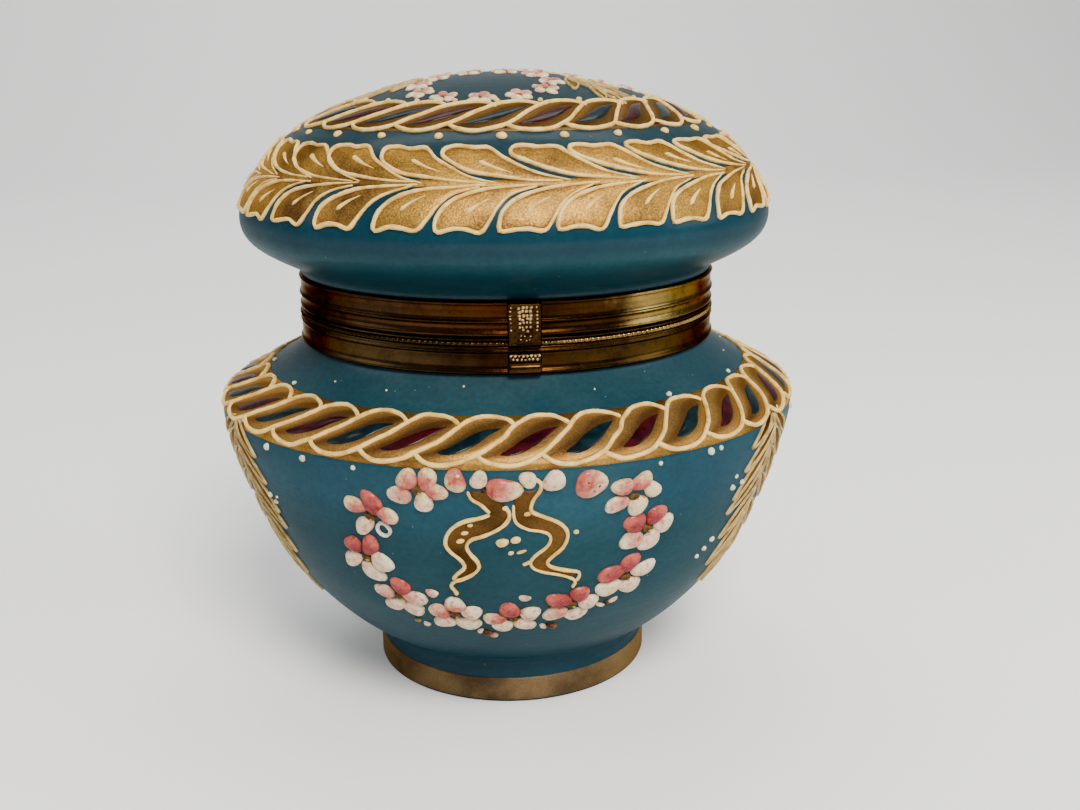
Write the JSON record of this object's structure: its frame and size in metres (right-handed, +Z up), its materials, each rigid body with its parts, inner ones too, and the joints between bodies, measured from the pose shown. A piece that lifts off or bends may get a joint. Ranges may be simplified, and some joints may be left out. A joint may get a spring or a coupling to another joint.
{
  "type": "opaline glass jewelry box",
  "caption": "Round satin glass jewelry box with a domed hinged lid, brass collars and clasp, and raised enamel leaves, rope bands and flower wreaths.",
  "frame": {"origin": "centre of the foot ring, on the plane that it stands on", "axes": "+Z up along the axis of the turned glass, -Y towards the clasp, +Y towards the hinge, +X to the right of a viewer who faces the clasp"},
  "size_m": [0.1308, 0.1319, 0.1376],
  "materials": {
    "bowl_glass": "satin teal opaline glass with raised, gilded enamel",
    "lid_glass": "satin teal opaline glass with raised, gilded enamel",
    "collar_brass": "aged brass with a dark brown patina",
    "hinge_brass": "aged brass with a dark brown patina",
    "clasp_brass": "chased aged brass, rubbed bright on its edges"
  },
  "bodies": {
    "box": {"glass_bowl": "bowl_glass", "bowl_collar": "collar_brass", "hinge_bowl_leaf": "hinge_brass", "hinge_pin": "hinge_brass", "clasp_catch": "clasp_brass"},
    "lid": {"glass_lid": "lid_glass", "lid_collar": "collar_brass", "hinge_lid_leaf": "hinge_brass", "clasp_tab": "clasp_brass"}
  },
  "joints": [
    {"name": "lid_hinge", "type": "hinge", "parent": "box", "child": "lid", "pos_m": [0, 0.0492, 0.087], "axis": [-1, 0, 0], "range_deg": [0, 100]}
  ]
}
